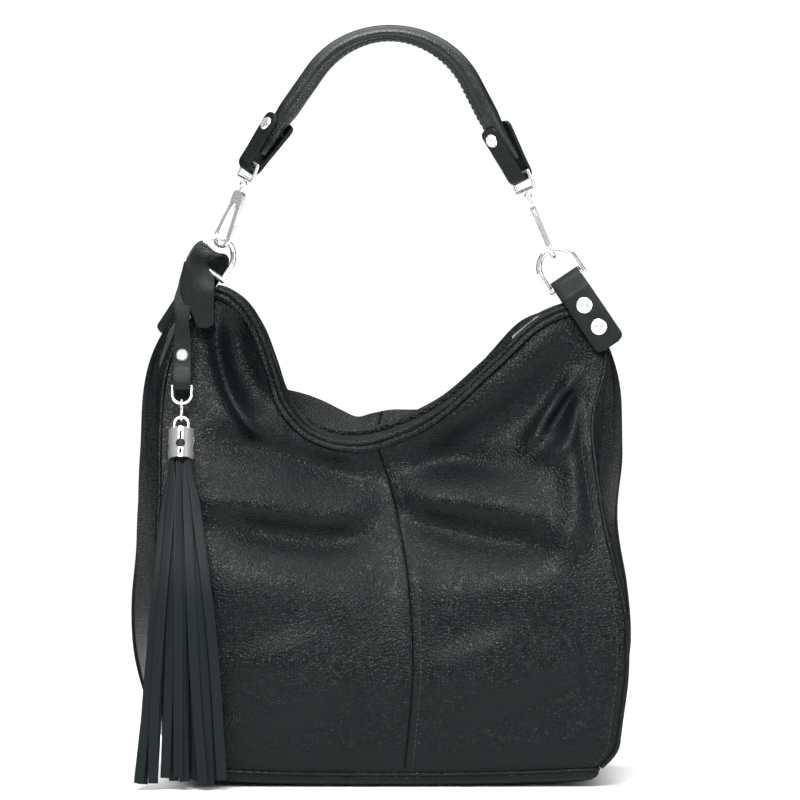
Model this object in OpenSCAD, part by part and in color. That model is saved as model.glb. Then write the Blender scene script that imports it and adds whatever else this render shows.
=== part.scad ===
// Slouchy leather hobo bag with a clip-on rolled handle and a tassel.
// Origin on the floor under the middle of the base, +Z up, the front faces -Y.

/* [Body] */
// Half of the body's depth at the base
base_half_depth = 70; // [60:1:80]
// Height of the seam between the base and the walls
seam_z = 10; // [8:1:12]
// Height of the front rim at its lowest point
rim_low = 234; // [225:1:245]
// Height of the rim beside the left tab
rim_left = 341; // [336:1:342]
// Height of the rim beside the right tab
rim_right = 333; // [328:1:334]
// Where along X the rim is lowest
rim_low_x = -26; // [-40:1:-10]
// Half of the gap between the rims in the middle of the mouth
mouth_half = 18; // [16:1:22]
// Extra height of the back rim in the middle
back_rim_rise = 6; // [0:1:10]
// Thickness of the body leather
leather = 2; // [1.5:0.1:2.2]
// Thickness of the lining
lining = 0.8; // [0.5:0.1:1]

/* [Straps] */
// Width of a tab
tab_w = 22.4; // [20:0.1:22.6]
// Thickness of the strap leather
strap_t = 2.5; // [2:0.1:2.6]
// Radius of the rolled handle
handle_r = 7.5; // [7:0.1:8]
// Radius of the handle's arch
arch_r = 64; // [62:1:66]

/* [Metal] */
// Radius of the D-ring's wire
ring_wire = 2; // [1.6:0.1:2.1]
// Half of the D-ring's width at its wire's centre line
ring_half = 13.5; // [13:0.1:14]
// Length of the D-ring's straight sides
ring_side = 11.5; // [11:0.5:12]
// Radius of a rivet's cap
rivet_r = 5.5; // [4.5:0.1:6]
// Height of the tassel's cap
cap_h = 21.6; // [20:0.1:23]
// Radius of the tassel's cap
cap_r = 8.8; // [8.5:0.1:9]

/* [Hidden] */
$fn = 48;

leather_black = [0.09, 0.11, 0.12];
strap_black = [0.11, 0.13, 0.13];
nickel = [0.82, 0.82, 0.84];
lining_black = [0.16, 0.16, 0.17];
gap = 0.3;                // air between neighbouring soft pieces
cols = 20;                // cells across the front or the back
side_cols = 6;            // cells across a gusset
rows = 13;                // cells from the base seam up to the rim bands
band_h = 0.035;           // height of a rim band as a share of the wall

// ---- outline of the body: [height, x] of its four upright seams ----
front_left = [[10, -135], [34, -147], [100, -152], [200, -153], [290, -148], [343, -128]];
front_right = [[10, 149], [34, 162], [110, 168], [190, 152], [255, 147], [295, 156], [335, 142]];
back_left = [[10, -139], [40, -165], [80, -176], [165, -175], [225, -172], [300, -160], [343, -133]];
back_right = [[10, 141], [40, 163], [80, 176], [130, 174], [175, 167], [225, 170], [290, 164], [335, 144]];
corner_half = 6;          // half of the body's depth at its two top corners
left_run = 85;            // length of the rim's climb to the left tab
right_run = 148;          // length of the rim's climb to the right tab
corner_left = 343;
corner_right = 335;

function mix(a, b, k) = a + (b - a) * k;
function clamp(k) = min(1, max(0, k));
function ease(k) = let (c = clamp(k)) c * c * (3 - 2 * c);

function rim_z(x) = x < rim_low_x
    ? mix(rim_low, rim_left, ease(((rim_low_x - x) / left_run - 0.2) / 0.8))
    : mix(rim_low, rim_right, pow(clamp((x - rim_low_x) / right_run), 1.55));

// Half depth of the body: s runs 0 to 1 from left to right, t 0 to 1 from seam to rim
function half_depth(s, t) =
    let (edge = pow(2 * s - 1, 2), top = mix(mouth_half, corner_half, edge))
    mix(base_half_depth, top, ease((t - 0.25) / 0.75));

function left_x(side, z) = lookup(z, side < 0 ? front_left : back_left);
function right_x(side, z) = lookup(z, side < 0 ? front_right : back_right);

// A point on the front (side -1) or back (side 1) wall, e millimetres inside its face
function wall(side, s, t, e) =
    let (
        top_x = mix(left_x(side, corner_left), right_x(side, corner_right), s),
        rise = side > 0 ? back_rim_rise * 4 * s * (1 - s) : 0,
        z = mix(seam_z, rim_z(top_x) + rise, t)
    )
    [mix(left_x(side, z) + e, right_x(side, z) - e, s), side * (half_depth(s, t) - e), z];

// A point on the left (hand -1) or right (hand 1) gusset; g runs 0 to 1 from front to back
function side_wall(hand, g, t, e) =
    let (
        z = mix(seam_z, hand < 0 ? rim_left : rim_right, t),
        near = hand < 0 ? left_x(-1, z) : right_x(-1, z),
        far = hand < 0 ? left_x(1, z) : right_x(1, z),
        fold = 9 * ease(t * 2) * (1 - 0.6 * ease(t * 2 - 1)) * sin(180 * g)
    )
    [mix(near, far, g) - hand * (e + fold), mix(-1, 1, g) * (half_depth(0, t) - e), z];

// Closed skin between two grids of points with the same rows and columns
module skin(outer, inner) {
    n = len(outer);
    m = len(outer[0]);
    pts = [for (r = outer) each r, for (r = inner) each r];
    function at(k, i, j) = k * n * m + i * m + j;
    sheets = [for (i = [0:n - 2], j = [0:m - 2])
        each [[at(0, i, j), at(0, i + 1, j), at(0, i + 1, j + 1)],
              [at(0, i, j), at(0, i + 1, j + 1), at(0, i, j + 1)],
              [at(1, i, j), at(1, i + 1, j + 1), at(1, i + 1, j)],
              [at(1, i, j), at(1, i, j + 1), at(1, i + 1, j + 1)]]];
    sides = [for (i = [0:n - 2])
        each [[at(0, i, 0), at(1, i, 0), at(1, i + 1, 0)],
              [at(0, i, 0), at(1, i + 1, 0), at(0, i + 1, 0)],
              [at(0, i, m - 1), at(1, i + 1, m - 1), at(1, i, m - 1)],
              [at(0, i, m - 1), at(0, i + 1, m - 1), at(1, i + 1, m - 1)]]];
    ends = [for (j = [0:m - 2])
        each [[at(0, 0, j), at(0, 0, j + 1), at(1, 0, j + 1)],
              [at(0, 0, j), at(1, 0, j + 1), at(1, 0, j)],
              [at(0, n - 1, j), at(1, n - 1, j + 1), at(0, n - 1, j + 1)],
              [at(0, n - 1, j), at(1, n - 1, j), at(1, n - 1, j + 1)]]];
    polyhedron(pts, concat(sheets, sides, ends), convexity = 8);
}

// All layers bend along the same lines, so that neighbours never cross: a piece takes
// its own ends a and b, and the shared lines between them
upright_lines = [for (i = [0:cols]) i / cols];
side_lines = [for (i = [0:side_cols]) i / side_cols];
level_lines = [for (i = [0:rows]) i / rows * (1 - band_h)];
function between(a, b, lines) = [a, for (k = lines) if (k > a + 0.004 && k < b - 0.004) k, b];
function backwards(v) = [for (i = [len(v) - 1:-1:0]) v[i]];

// Part of the front or back wall between two depths e0 and e1 under its face
module wall_piece(side, s0, s1, t0, t1, e0, e1) {
    across = between(s0, s1, upright_lines);
    function grid(e) = [for (t = between(t0, t1, level_lines))
        [for (s = side < 0 ? across : backwards(across)) wall(side, s, t, e)]];
    skin(grid(e0), grid(e1));
}

module gusset_piece(hand, g0, g1, t0, t1, e0, e1) {
    across = between(g0, g1, side_lines);
    function grid(e) = [for (t = between(t0, t1, level_lines))
        [for (g = hand > 0 ? across : backwards(across)) side_wall(hand, g, t, e)]];
    skin(grid(e0), grid(e1));
}

// ---- soft body ----
module front_panel_left() {
    color(leather_black) wall_piece(-1, 0.003, 0.499, 0, 1, 0, leather);
}

module front_panel_right() {
    color(leather_black) wall_piece(-1, 0.501, 0.997, 0, 1, 0, leather);
}

module back_panel_left() {
    color(leather_black) wall_piece(1, 0.003, 0.499, 0, 1, 0, leather);
}

module back_panel_right() {
    color(leather_black) wall_piece(1, 0.501, 0.997, 0, 1, 0, leather);
}

module gusset_left() {
    color(leather_black) gusset_piece(-1, 0.02, 0.98, 0, 1, 0, leather);
}

module gusset_right() {
    color(leather_black) gusset_piece(1, 0.02, 0.98, 0, 1, 0, leather);
}

// Outline of the base inside its seam, moved in by e
function base_outline(e) = [
    [front_left[0][1] + e, -base_half_depth + e], [front_right[0][1] - e, -base_half_depth + e],
    [back_right[0][1] - e, base_half_depth - e], [back_left[0][1] + e, base_half_depth - e]];

module slab(e, z0, z1) {
    translate([0, 0, z0]) linear_extrude(z1 - z0) polygon(base_outline(e));
}

module base_panel() {
    thin = 0.1;
    color(leather_black) difference() {
        hull() {
            slab(0, seam_z - gap - thin, seam_z - gap);
            slab(3, 3, 3 + thin);
            slab(12, 0, thin);
        }
        hull() {
            slab(leather, seam_z - gap, seam_z);
            slab(3 + leather, 3 + thin, 3 + 2 * thin);
            slab(11, leather, leather + thin);
        }
    }
}

module base_board() {
    color([0.2, 0.18, 0.16]) slab(13, leather + 0.2, leather + 2.2);
}

lining_e = leather + 0.5;
module lining_front() {
    color(lining_black) wall_piece(-1, 0.003, 0.997, 0.02, 0.97, lining_e, lining_e + lining);
}

module lining_back() {
    color(lining_black) wall_piece(1, 0.003, 0.997, 0.02, 0.97, lining_e, lining_e + lining);
}

module lining_left() {
    color(lining_black) gusset_piece(-1, 0.08, 0.92, 0.02, 0.93, lining_e, lining_e + lining);
}

module lining_right() {
    color(lining_black) gusset_piece(1, 0.08, 0.92, 0.02, 0.93, lining_e, lining_e + lining);
}

module lining_floor() {
    color(lining_black) slab(8, leather + 2.6, leather + 2.6 + lining);
}

// Slip pocket sewn on the back lining
module inner_pocket() {
    e = lining_e + lining + gap;
    color(lining_black) wall_piece(1, 0.3, 0.7, 0.3, 0.72, e, e + lining);
}

module rim_band_front() {
    color(leather_black) wall_piece(-1, 0.08, 0.92, 1 - band_h, 1, -1.6, -gap);
}

module rim_band_back() {
    color(leather_black) wall_piece(1, 0.08, 0.92, 1 - band_h, 1, -1.6, -gap);
}

binding_top = 0.84;       // the bindings end under the tabs
module binding(side, s0, s1) {
    color(leather_black) wall_piece(side, s0, s1, 0.02, binding_top, -2.2, -gap);
}

module seam_binding_front_left() binding(-1, 0.003, 0.02);
module seam_binding_front_right() binding(-1, 0.98, 0.997);
module seam_binding_back_left() binding(1, 0.003, 0.02);
module seam_binding_back_right() binding(1, 0.98, 0.997);

// ---- zip ----
tape_e = lining_e + lining + gap;
module zip_tape(side) {
    color(lining_black) wall_piece(side, 0.08, 0.92, 0.94, 0.985, tape_e, tape_e + 0.8);
}

module zip_teeth(side) {
    color(nickel) wall_piece(side, 0.1, 0.9, 0.955, 0.97, tape_e + 0.9, tape_e + 2.4);
}

module zip_tape_front() zip_tape(-1);
module zip_tape_back() zip_tape(1);
module zip_teeth_front() zip_teeth(-1);
module zip_teeth_back() zip_teeth(1);

slider_at = [112, 0, 318];    // rest place, at the open end of the zip
slider_lean = 40;             // climb of the zip towards its open end
module zip_slider() {
    color(nickel) translate(slider_at) rotate([0, -slider_lean, 0]) {
        for (z = [-2.6, 1.4]) translate([-6, -3.5, z]) cube([12, 7, 1.2]);
        translate([1, -1.2, -2]) cube([4, 2.4, 4]);
        for (y = [-1.9, 1.1]) translate([-3, y, 2.4]) cube([4, 0.8, 3]);
        translate([-1, 0, 4.4]) rotate([90, 0, 0]) cylinder(r = 0.5, h = 3, center = true);
    }
}

module zip_pull() {
    color(nickel) translate(slider_at) rotate([0, -slider_lean, 0]) translate([-1, 0, 4.4])
        difference() {
            hull() {
                rotate([90, 0, 0]) cylinder(r = 1.4, h = 1.6, center = true);
                translate([-20, 0, 0]) rotate([90, 0, 0]) cylinder(r = 1.8, h = 1.6, center = true);
            }
            rotate([90, 0, 0]) cylinder(r = 0.6, h = 4, center = true);
        }
}

// ---- tabs and D-rings ----
ring_left_at = [-121, 0, 355];
ring_right_at = [130, 0, 347];
ring_lean = 34;           // lean of both D-rings towards the middle
ring_left_turn = 30;      // the left D-ring is turned about Z in its loose loop
loose_r = 8.6;            // inside of the left tab's loop
loose_up = 2.5;           // how far the loop's middle is over the ring's bar

module at_ring_left() {
    translate(ring_left_at) rotate([0, 0, ring_left_turn]) rotate([0, ring_lean, 0]) children();
}

module at_ring_right() {
    translate(ring_right_at) rotate([0, -ring_lean, 0]) children();
}

module d_ring() {
    color(nickel) {
        translate([-ring_half, 0, 0]) rotate([0, 90, 0]) cylinder(r = ring_wire, h = 2 * ring_half);
        for (x = [-ring_half, ring_half]) {
            translate([x, 0, 0]) sphere(r = ring_wire);
            translate([x, 0, 0]) cylinder(r = ring_wire, h = ring_side);
        }
        translate([0, 0, ring_side]) rotate([90, 0, 0])
            rotate_extrude(angle = 180) translate([ring_half, 0]) circle(r = ring_wire);
    }
}

module d_ring_left() at_ring_left() d_ring();
module d_ring_right() at_ring_right() d_ring();

// Side view of a strap folded over a bar: r is the fold's inner radius, and the inner
// faces of both legs pass the points of reach
function mirrored(path) = [for (p = backwards(path)) [-p[0], p[1]]];
function half_circle(r) = [for (a = [0:10:180]) r * [cos(a), sin(a)]];

module fold_profile(r, reach) {
    outer = [for (p = reach) [p[0] + strap_t, p[1]]];
    polygon(concat(backwards(outer), half_circle(r + strap_t), mirrored(backwards(outer)),
        mirrored(reach), backwards(half_circle(r)), reach));
}

// Extrudes a side view, drawn in y and z, along X from x0 to x1
module along_x(x0, x1) {
    translate([x0, 0, 0]) rotate([90, 0, 90]) linear_extrude(x1 - x0) children();
}

right_reach = [[10, -9], [12.4, -28], [13.2, -42], [14, -54]];
left_reach = [[11, -14], [12.8, -28], [14.6, -44], [16.5, -58]];
tab_left_x = [-7.5, 8.9];
right_rows = [-20, -38];  // rivets' distances under the bar
left_rows = [-24, -38];
left_rivet_x = 3.5;
post_r = 1.6;
post_hole_r = 1.7;

// How far the outside of a tab's leg stands from its middle, d under the bar
function leg_face(reach, d) = lookup(d, [for (i = [len(reach) - 1:-1:0]) [reach[i][1], reach[i][0]]])
    + strap_t;

module tab_rivet_holes(at, x) {
    for (d = at) translate([x, 0, d]) rotate([90, 0, 0])
        cylinder(r = post_hole_r, h = 60, center = true);
}

module at_tab_left() {
    translate(ring_left_at) rotate([0, ring_lean, 0]) translate([0, 0, loose_up]) children();
}

module tab_left() {
    color(strap_black) at_tab_left() difference() {
        along_x(tab_left_x[0], tab_left_x[1]) fold_profile(loose_r, left_reach);
        tab_rivet_holes(left_rows, left_rivet_x);
    }
}

module tab_right() {
    color(strap_black) at_ring_right() difference() {
        along_x(-tab_w / 2, tab_w / 2) fold_profile(2.7, right_reach);
        tab_rivet_holes(right_rows, 0);
    }
}

// A domed cap and a short post, standing on the leg's face
module rivet() {
    ball = 2.4 * rivet_r;
    intersection() {
        translate([0, 0, 1.5 - ball]) sphere(r = ball);
        cylinder(r = rivet_r, h = 2);
    }
    translate([0, 0, -strap_t - 0.6]) cylinder(r = post_r, h = strap_t + 0.8);
}

module tab_rivets(reach, at, x, stand) {
    for (d = at, side = [-1, 1])
        translate([x, side * (leg_face(reach, d) + stand), d]) rotate([side < 0 ? 90 : -90, 0, 0])
            rivet();
}

module tab_rivets_left() {
    color(nickel) at_tab_left() tab_rivets(left_reach, left_rows, left_rivet_x, 0.9);
}

module tab_rivets_right() {
    color(nickel) at_ring_right() tab_rivets(right_reach, right_rows, 0, 0.8);
}

// ---- hooks: each runs from its hold on the D-ring up to the handle's end loop ----
hold_left = ring_point(ring_left_at, ring_left_turn, ring_lean, -13);
hold_right = ring_point(ring_right_at, 0, -ring_lean, 11);
loop_left = [-91, 0, 429];
loop_right = [96, 0, 422];
hook_left_turn = -33;
hook_right_turn = 90;
bail_left_turn = -55;
bail_right_turn = -45;
ball_z = 41;              // height of the swivel's ball over the hold
claw_r = 5.7;
claw_wire = 1.6;

// The point on a D-ring's wire at angle a from its top
function ring_point(at, turn, lean, a) =
    let (
        p = [ring_half * sin(a), 0, ring_side + ring_half * cos(a)],
        q = [p[0] * cos(lean) + p[2] * sin(lean), 0, p[2] * cos(lean) - p[0] * sin(lean)]
    )
    at + [q[0] * cos(turn), q[0] * sin(turn), q[2]];

module along(from, to, turn) {
    d = to - from;
    pitch = acos(d[2] / norm(d));
    heading = atan2(d[1], d[0]);
    translate(from) rotate([0, pitch, heading]) rotate([0, 0, turn - heading]) children();
}

pivot = [-1.6, 29];       // the lever's pin, across and up
module hook_side(w) rotate([90, 0, 0]) linear_extrude(w, center = true) children();

module hook_body() {
    color(nickel) {
        rotate([90, 0, 0]) rotate([0, 0, 180])
            rotate_extrude(angle = 180) translate([claw_r, 0]) circle(r = claw_wire);
        difference() {
            hook_side(3.6) polygon([[4.2, 0], [7.3, 0], [6.2, 12], [4.6, 33], [3.2, 35],
                [-2.6, 35], [-4.2, 33], [-4, 26], [1.6, 26], [2.6, 20]]);
            hook_side(2.2) polygon([[-6, 22], [0.4, 22], [0.4, 31.6], [-6, 31.6]]);
            translate([pivot[0], 0, pivot[1]]) rotate([90, 0, 0])
                cylinder(r = 0.8, h = 10, center = true);
        }
        translate([-claw_r, 0, 0]) cylinder(r = claw_wire, h = 2.6);
        translate([0, 0, 34.5]) cylinder(r = 1.2, h = ball_z - 34.5);
        translate([0, 0, ball_z]) sphere(r = 2.6);
    }
}

module hook_lever() {
    color(nickel) difference() {
        hook_side(2) polygon([[-6.9, 3], [-4.3, 3], [-2.4, 20], [-0.4, 26], [-0.2, 30],
            [-2.8, 30.8], [-4, 26], [-5.6, 14]]);
        translate([pivot[0], 0, pivot[1]]) rotate([90, 0, 0])
            cylinder(r = 0.75, h = 6, center = true);
    }
}

module lever_pin() {
    color(nickel) translate([pivot[0], 0, pivot[1]]) rotate([90, 0, 0])
        cylinder(r = 0.7, h = 3.4, center = true);
}

// A leaf that presses the lever shut
module lever_spring() {
    color(nickel) hook_side(1.4) polygon([[0.5, 25.4], [0.9, 25.4], [0.2, 17], [-0.2, 17]]);
}

// Wire frame from the swivel's collar up round the handle's end loop
bail_half = 9;
bail_top = 57;
bail_wire = 1.3;
module swivel_bail() {
    low = ball_z + 4.3;
    color(nickel) {
        for (x = [-1, 1]) {
            translate([x * bail_half, 0, low]) cylinder(r = bail_wire, h = bail_top - low);
            translate([x * bail_half, 0, bail_top]) sphere(r = bail_wire);
            translate([x * bail_half, 0, low]) sphere(r = bail_wire);
        }
        translate([-bail_half, 0, bail_top]) rotate([0, 90, 0])
            cylinder(r = bail_wire, h = 2 * bail_half);
        translate([-bail_half, 0, low]) rotate([0, 90, 0])
            cylinder(r = bail_wire, h = 2 * bail_half);
    }
}

module at_hook_left() along(hold_left, loop_left, hook_left_turn) children();
module at_hook_right() along(hold_right, loop_right, hook_right_turn) children();
module hook_body_left() at_hook_left() hook_body();
module hook_body_right() at_hook_right() hook_body();
module hook_lever_left() at_hook_left() hook_lever();
module hook_lever_right() at_hook_right() hook_lever();
module lever_pin_left() at_hook_left() lever_pin();
module lever_pin_right() at_hook_right() lever_pin();
module lever_spring_left() at_hook_left() lever_spring();
module lever_spring_right() at_hook_right() lever_spring();
module swivel_bail_left() along(hold_left, loop_left, bail_left_turn) swivel_bail();
module swivel_bail_right() along(hold_right, loop_right, bail_right_turn) swivel_bail();

// ---- handle: an arch with two straight ends that meet it without a kink ----
arch_at = [6, 0, 456];
end_gap = 10;             // from a loop's bar to the end of the roll
taper = 36;               // length over which the roll narrows to its end
end_r = 4;

function span_to(p) = sqrt(pow(norm(p - arch_at), 2) - pow(arch_r, 2));

// Angle above the horizontal at which the straight from p meets the arch
function meet(p) =
    let (d = p - arch_at)
    atan2(d[2], abs(d[0])) + acos(arch_r / norm(d));

function arch_point(a) = arch_at + arch_r * [cos(a), 0, sin(a)];
right_angle = meet(loop_right);
left_angle = 180 - meet(loop_left);

module straight(from, angle) {
    to = arch_point(angle);
    along(from, to, 0) children();
}

function unit(v) = v / norm(v);

// Middle line of the roll from its left end to its right end
arch_step = 6;            // angle between the rings of the arch
arch_rings = ceil((left_angle - right_angle) / arch_step);
arch_path = [for (i = [0:arch_rings]) arch_point(mix(left_angle, right_angle, i / arch_rings))];
function straight_path(from, to, ends) = [for (d = ends) from + d * unit(to - from)];
function roll_path(ends) = concat(
    straight_path(loop_left, arch_point(left_angle), ends), arch_path,
    backwards(straight_path(loop_right, arch_point(right_angle), ends)));
function roll_radii(thin, full) =
    concat([thin, full], [for (i = arch_path) full], [full, thin]);

// Closed tube round a path in the XZ plane, with its own radius at each point
module tube(path, radii, sides = 20) {
    n = len(path);
    function ring(i) =
        let (t = unit(path[min(i + 1, n - 1)] - path[max(i - 1, 0)]), out = [t[2], 0, -t[0]])
        [for (a = [0:sides - 1])
            path[i] + radii[i] * (cos(360 * a / sides) * out + [0, sin(360 * a / sides), 0])];
    walls = [for (i = [0:n - 2], a = [0:sides - 1]) let (b = (a + 1) % sides)
        each [[i * sides + a, (i + 1) * sides + a, (i + 1) * sides + b],
              [i * sides + a, (i + 1) * sides + b, i * sides + b]]];
    low = [for (a = [0:sides - 1]) a];
    high = [for (a = [sides - 1:-1:0]) (n - 1) * sides + a];
    polyhedron([for (i = [0:n - 1]) each ring(i)], concat(walls, [low, high]), convexity = 6);
}

rivet_up = 29;            // distance of a handle rivet from the loop's bar
module handle_rivet_holes() {
    for (e = [[loop_left, left_angle, bail_left_turn], [loop_right, right_angle, bail_right_turn]])
        straight(e[0], e[1]) rotate([0, 0, e[2]]) translate([0, 0, rivet_up])
            rotate([90, 0, 0]) cylinder(r = 1.6, h = 40, center = true);
}

wall_t = 2.2;             // leather wall of the rolled handle
module handle_cover() {
    color(strap_black) difference() {
        tube(roll_path([end_gap, end_gap + taper]), roll_radii(end_r, handle_r));
        tube(roll_path([end_gap - 1, end_gap + taper]),
            roll_radii(end_r - wall_t, handle_r - wall_t));
        handle_rivet_holes();
    }
}

module handle_core() {
    air = 0.2;
    color([0.35, 0.33, 0.3]) difference() {
        tube(roll_path([end_gap, end_gap + taper]),
            roll_radii(end_r - wall_t - air, handle_r - wall_t - air));
        handle_rivet_holes();
    }
}

module handle_end(from, angle, turn) {
    reach = [[4.3, 10], [5, 16], [6.3, 30], [7, 38]];
    color(strap_black) straight(from, angle) rotate([0, 0, turn]) difference() {
        along_x(-6.2, 6.2) mirror([0, 1]) fold_profile(3.6, [for (p = reach) [p[0] + 0.1, -p[1]]]);
        translate([0, 0, rivet_up]) rotate([90, 0, 0]) cylinder(r = 1.6, h = 40, center = true);
    }
}

module handle_end_left() handle_end(loop_left, left_angle, bail_left_turn);
module handle_end_right() handle_end(loop_right, right_angle, bail_right_turn);

module handle_rivet(from, angle, turn) {
    face = 6.8 + strap_t;   // outside of the strap where the rivet sits
    color(nickel) straight(from, angle) rotate([0, 0, turn]) translate([0, 0, rivet_up]) {
        rotate([90, 0, 0]) cylinder(r = 1.5, h = 2 * face, center = true);
        for (side = [-1, 1]) translate([0, side * face, 0]) rotate([side < 0 ? 90 : -90, 0, 0])
            cylinder(r1 = 4.8, r2 = 4, h = 1.2);
    }
}

module handle_rivet_left() handle_rivet(loop_left, left_angle, bail_left_turn);
module handle_rivet_right() handle_rivet(loop_right, right_angle, bail_right_turn);

// ---- tassel: hangs from the left D-ring and lies on the front ----
tassel_x = -138;
strap_w = 12.6;
strap_path = [[-18, 356], [-20, 336], [-26, 293], [-28.5, 277]];
shackle_at = [tassel_x, -29.2, 274.5];
chain_lean = 20;          // the chain leans forward with the front wall
shackle_wire = 1.1;
link_h = 10;

module strap_segment(a, b) {
    hull() for (p = [a, b])
        translate([tassel_x, p[0], p[1]]) rotate([0, 90, 0])
            cylinder(r = 1.5, h = strap_w, center = true, $fn = 24);
}

strap_rivet_at = [-25.58, 296];
strap_slope = atan2(6, 43);
module tassel_strap() {
    color(strap_black) {
        difference() {
            union() {
                for (i = [0:len(strap_path) - 2]) strap_segment(strap_path[i], strap_path[i + 1]);
                hull() {
                    at_ring_left() translate([-ring_half, 0, 1.5]) cylinder(r = 4.4, h = 7, $fn = 32);
                    translate([tassel_x, strap_path[0][0], strap_path[0][1]]) rotate([0, 90, 0])
                        cylinder(r = 1.5, h = strap_w, center = true, $fn = 24);
                }
                translate([tassel_x, shackle_at[1], shackle_at[2]]) rotate([0, 90, 0])
                    cylinder(r = 3.4, h = strap_w - 3, center = true);
            }
            translate(shackle_at) rotate([0, 90, 0]) cylinder(r = 1.5, h = 40, center = true);
            translate([tassel_x, strap_rivet_at[0], strap_rivet_at[1]]) rotate([90, 0, 0])
                cylinder(r = 1.3, h = 20, center = true);
            at_ring_left() translate([-ring_half, 0, -8])
                cylinder(r = ring_wire + 0.6, h = ring_side + 12);
            at_ring_left() translate([-ring_half - 4, 0, 0]) rotate([0, 90, 0])
                cylinder(r = ring_wire + 0.6, h = 20);
        }
    }
}

module tassel_strap_rivet() {
    color(nickel) translate([tassel_x, strap_rivet_at[0], strap_rivet_at[1]])
        rotate([90 - strap_slope, 0, 0]) {
            translate([0, 0, 1.75]) cylinder(r1 = 4.2, r2 = 3.4, h = 1.1);
            translate([0, 0, -1.5]) cylinder(r = 1, h = 3.3);
        }
}

module at_shackle() translate(shackle_at) rotate([-chain_lean, 0, 0]) children();

shackle_half = 6.6;
shackle_side = 6;
module tassel_shackle() {
    color(nickel) at_shackle() {
        rotate([0, 90, 0]) cylinder(r = shackle_wire, h = 2 * shackle_half, center = true);
        for (x = [-1, 1]) {
            translate([x * shackle_half, 0, 0]) sphere(r = shackle_wire);
            translate([x * shackle_half, 0, -shackle_side]) cylinder(r = shackle_wire, h = shackle_side);
        }
        translate([0, 0, -shackle_side]) rotate([90, 0, 0]) rotate([0, 0, 180])
            rotate_extrude(angle = 180) translate([shackle_half, 0]) circle(r = shackle_wire);
    }
}

eye_r = 2.6;
link_top = -shackle_side - shackle_half;
module eye() rotate([0, 90, 0]) rotate_extrude() translate([eye_r, 0]) circle(r = 0.8);

module tassel_link() {
    color(nickel) at_shackle() translate([0, 0, link_top]) {
        eye();
        translate([0, 0, -link_h]) eye();
        translate([0, 0, -link_h + eye_r - 0.3]) cylinder(r1 = 1.5, r2 = 0.9, h = (link_h - 2 * eye_r) / 2 + 0.4);
        translate([0, 0, -link_h / 2]) cylinder(r1 = 0.9, r2 = 1.5, h = (link_h - 2 * eye_r) / 2 + 0.3);
    }
}

bail_z = link_top - link_h;       // the wire at the top of the cap's bail
bail_r = 4.9;
cap_top = bail_z - bail_r - 4.2;

module tassel_cap_bail() {
    color(nickel) at_shackle() {
        translate([0, 0, bail_z - bail_r]) rotate([90, 0, 0])
            rotate_extrude(angle = 180) translate([bail_r, 0]) circle(r = 1.1);
        for (x = [-1, 1]) translate([x * bail_r, 0, cap_top + 0.02]) cylinder(r = 1.1, h = 4.18);
    }
}

module tassel_cap() {
    color(nickel) at_shackle() translate([0, 0, cap_top - cap_h]) difference() {
        cylinder(r = cap_r, h = cap_h);
        translate([0, 0, -1]) cylinder(r = cap_r - 1, h = cap_h);
        for (a = [0, 90]) rotate([90, 0, a]) {
            translate([0, cap_h * 0.45, 0]) cylinder(r = 3.2, h = 30, center = true);
            translate([-1, cap_h * 0.45, -15]) cube([2, cap_h * 0.42, 30]);
            translate([-1, 2, -15]) cube([2, 4, 30]);
        }
    }
}

module tassel_core() {
    color(strap_black) at_shackle() translate([0, 0, cap_top - cap_h + 5.5])
        cylinder(r = cap_r - 1.2, h = cap_h - 8);
}

// Middle of the fringe, from the cap down over the front wall: [y, z]
fringe_path = [[-45.9, 228.5], [-60, 186], [-75, 140], [-79, 80], [-79, 4]];
fringe_spread = 24;
strip_w = 7;
strip_t = 1.4;

// One hanging strip; k places it from -1 at the left to 1 at the right
module strip(k, depth) {
    n = len(fringe_path) - 1;
    function mid(i) = [
        tassel_x + k * mix(4.5, fringe_spread, pow(i / n, 0.8)),
        fringe_path[i][0] + depth, fringe_path[i][1] + (i == n ? 3 * pow(k, 2) : 0)];
    function row(i, dy) = [for (dx = [-1, 0, 1])
        mid(i) + [dx * strip_w / 2 * (i == 0 ? 0.45 : 1), dy, 0]];
    skin([for (i = [n:-1:0]) row(i, -strip_t / 2)], [for (i = [n:-1:0]) row(i, strip_t / 2)]);
}

module tassel_fringe_outer() {
    color(strap_black) for (i = [0:5]) strip(-1 + i * 0.4, -2.4 + 0.9 * pow(-1, i));
}

module tassel_fringe_inner() {
    color([0.08, 0.16, 0.16]) for (i = [0:4]) strip(-0.8 + i * 0.4, 1.8 + 0.9 * pow(-1, i));
}

front_panel_left();
front_panel_right();
back_panel_left();
back_panel_right();
gusset_left();
gusset_right();
base_panel();
base_board();
lining_front();
lining_back();
lining_left();
lining_right();
lining_floor();
inner_pocket();
rim_band_front();
rim_band_back();
seam_binding_front_left();
seam_binding_front_right();
seam_binding_back_left();
seam_binding_back_right();
zip_tape_front();
zip_tape_back();
zip_teeth_front();
zip_teeth_back();
zip_slider();
zip_pull();
tab_left();
tab_right();
tab_rivets_left();
tab_rivets_right();
d_ring_left();
d_ring_right();
hook_body_left();
hook_body_right();
hook_lever_left();
hook_lever_right();
lever_pin_left();
lever_pin_right();
lever_spring_left();
lever_spring_right();
swivel_bail_left();
swivel_bail_right();
handle_cover();
handle_core();
handle_end_left();
handle_end_right();
handle_rivet_left();
handle_rivet_right();
tassel_strap();
tassel_strap_rivet();
tassel_shackle();
tassel_link();
tassel_cap_bail();
tassel_cap();
tassel_core();
tassel_fringe_outer();
tassel_fringe_inner();
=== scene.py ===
"""Slouchy black leather hobo bag with a clip-on rolled handle and a tassel.

The leather, lining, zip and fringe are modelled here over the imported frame. The metal
stays as the frame has it. Lengths are in millimetres until a mesh is made.
"""

import math
import random

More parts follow.
